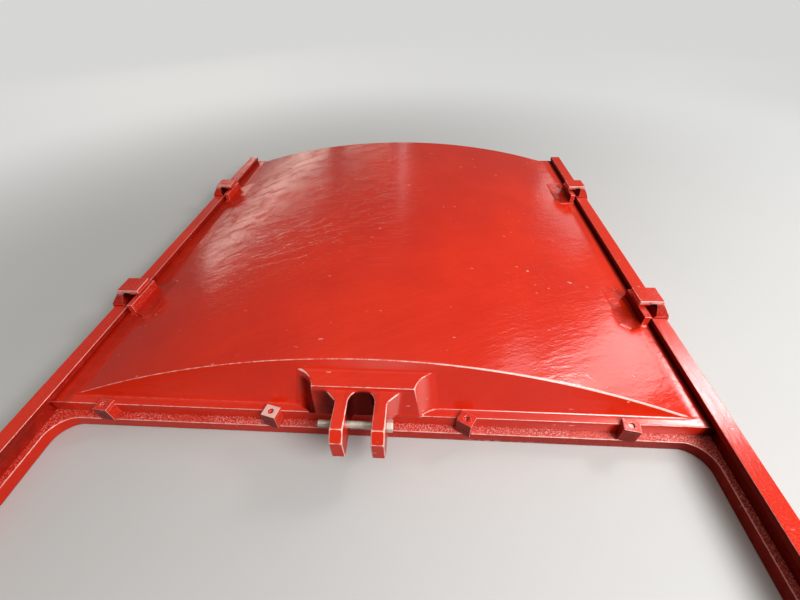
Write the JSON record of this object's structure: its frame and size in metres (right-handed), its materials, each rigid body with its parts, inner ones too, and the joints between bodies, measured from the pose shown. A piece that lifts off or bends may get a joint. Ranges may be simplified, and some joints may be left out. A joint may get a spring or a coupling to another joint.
{
  "type": "cast iron sluice gate",
  "caption": "Cast iron sluice gate lying on its back: arched leaf with a lifting lug, sliding in a frame with guide rails, bronze seals and hook brackets over wedge blocks.",
  "frame": {"origin": "middle of the frame's flat back face, half way along the guide rails", "axes": "+X across the gate, +Y down the gate from the hoist end to the sill, +Z away from the wall face, so the gate lies on its back as it was pictured"},
  "size_m": [2.1, 2.89, 0.2423],
  "materials": {
    "leaf_paint": "glossy vermilion enamel on cast iron",
    "frame_paint": "glossy vermilion enamel, rough on the near ledge",
    "fitting_paint": "glossy vermilion enamel on small castings",
    "painted_steel": "steel fastener painted with the gate",
    "zinc_steel": "pale zinc plating",
    "bronze": "machined bronze sealing strip"
  },
  "bodies": {
    "frame": {"frame_casting": "frame_paint", "left_guide_rail": "frame_paint", "right_guide_rail": "frame_paint", "frame_seal_left": "bronze", "frame_seal_right": "bronze", "frame_seal_top": "bronze", "frame_seal_sill": "bronze", "left_head_wedge_bracket": "fitting_paint", "left_sill_wedge_bracket": "fitting_paint", "right_head_wedge_bracket": "fitting_paint", "right_sill_wedge_bracket": "fitting_paint", "left_head_wedge_shoe": "bronze", "left_sill_wedge_shoe": "bronze", "right_head_wedge_shoe": "bronze", "right_sill_wedge_shoe": "bronze", "left_head_bracket_bolts": "painted_steel", "left_sill_bracket_bolts": "painted_steel", "right_head_bracket_bolts": "painted_steel", "right_sill_bracket_bolts": "painted_steel"},
    "leaf": {"gate_leaf": "leaf_paint", "lifting_pin": "zinc_steel", "leaf_seal_left": "bronze", "leaf_seal_right": "bronze", "leaf_seal_top": "bronze", "leaf_seal_sill": "bronze", "left_head_wedge_block": "fitting_paint", "left_sill_wedge_block": "fitting_paint", "right_head_wedge_block": "fitting_paint", "right_sill_wedge_block": "fitting_paint", "leaf_cleat_1": "fitting_paint", "leaf_cleat_2": "fitting_paint", "leaf_cleat_3": "fitting_paint", "leaf_cleat_4": "fitting_paint", "cleat_screws": "painted_steel"}
  },
  "joints": [
    {"name": "leaf_slide", "type": "slide", "parent": "frame", "child": "leaf", "axis": [0, -1, 0], "range_m": [0, 1.8]}
  ]
}
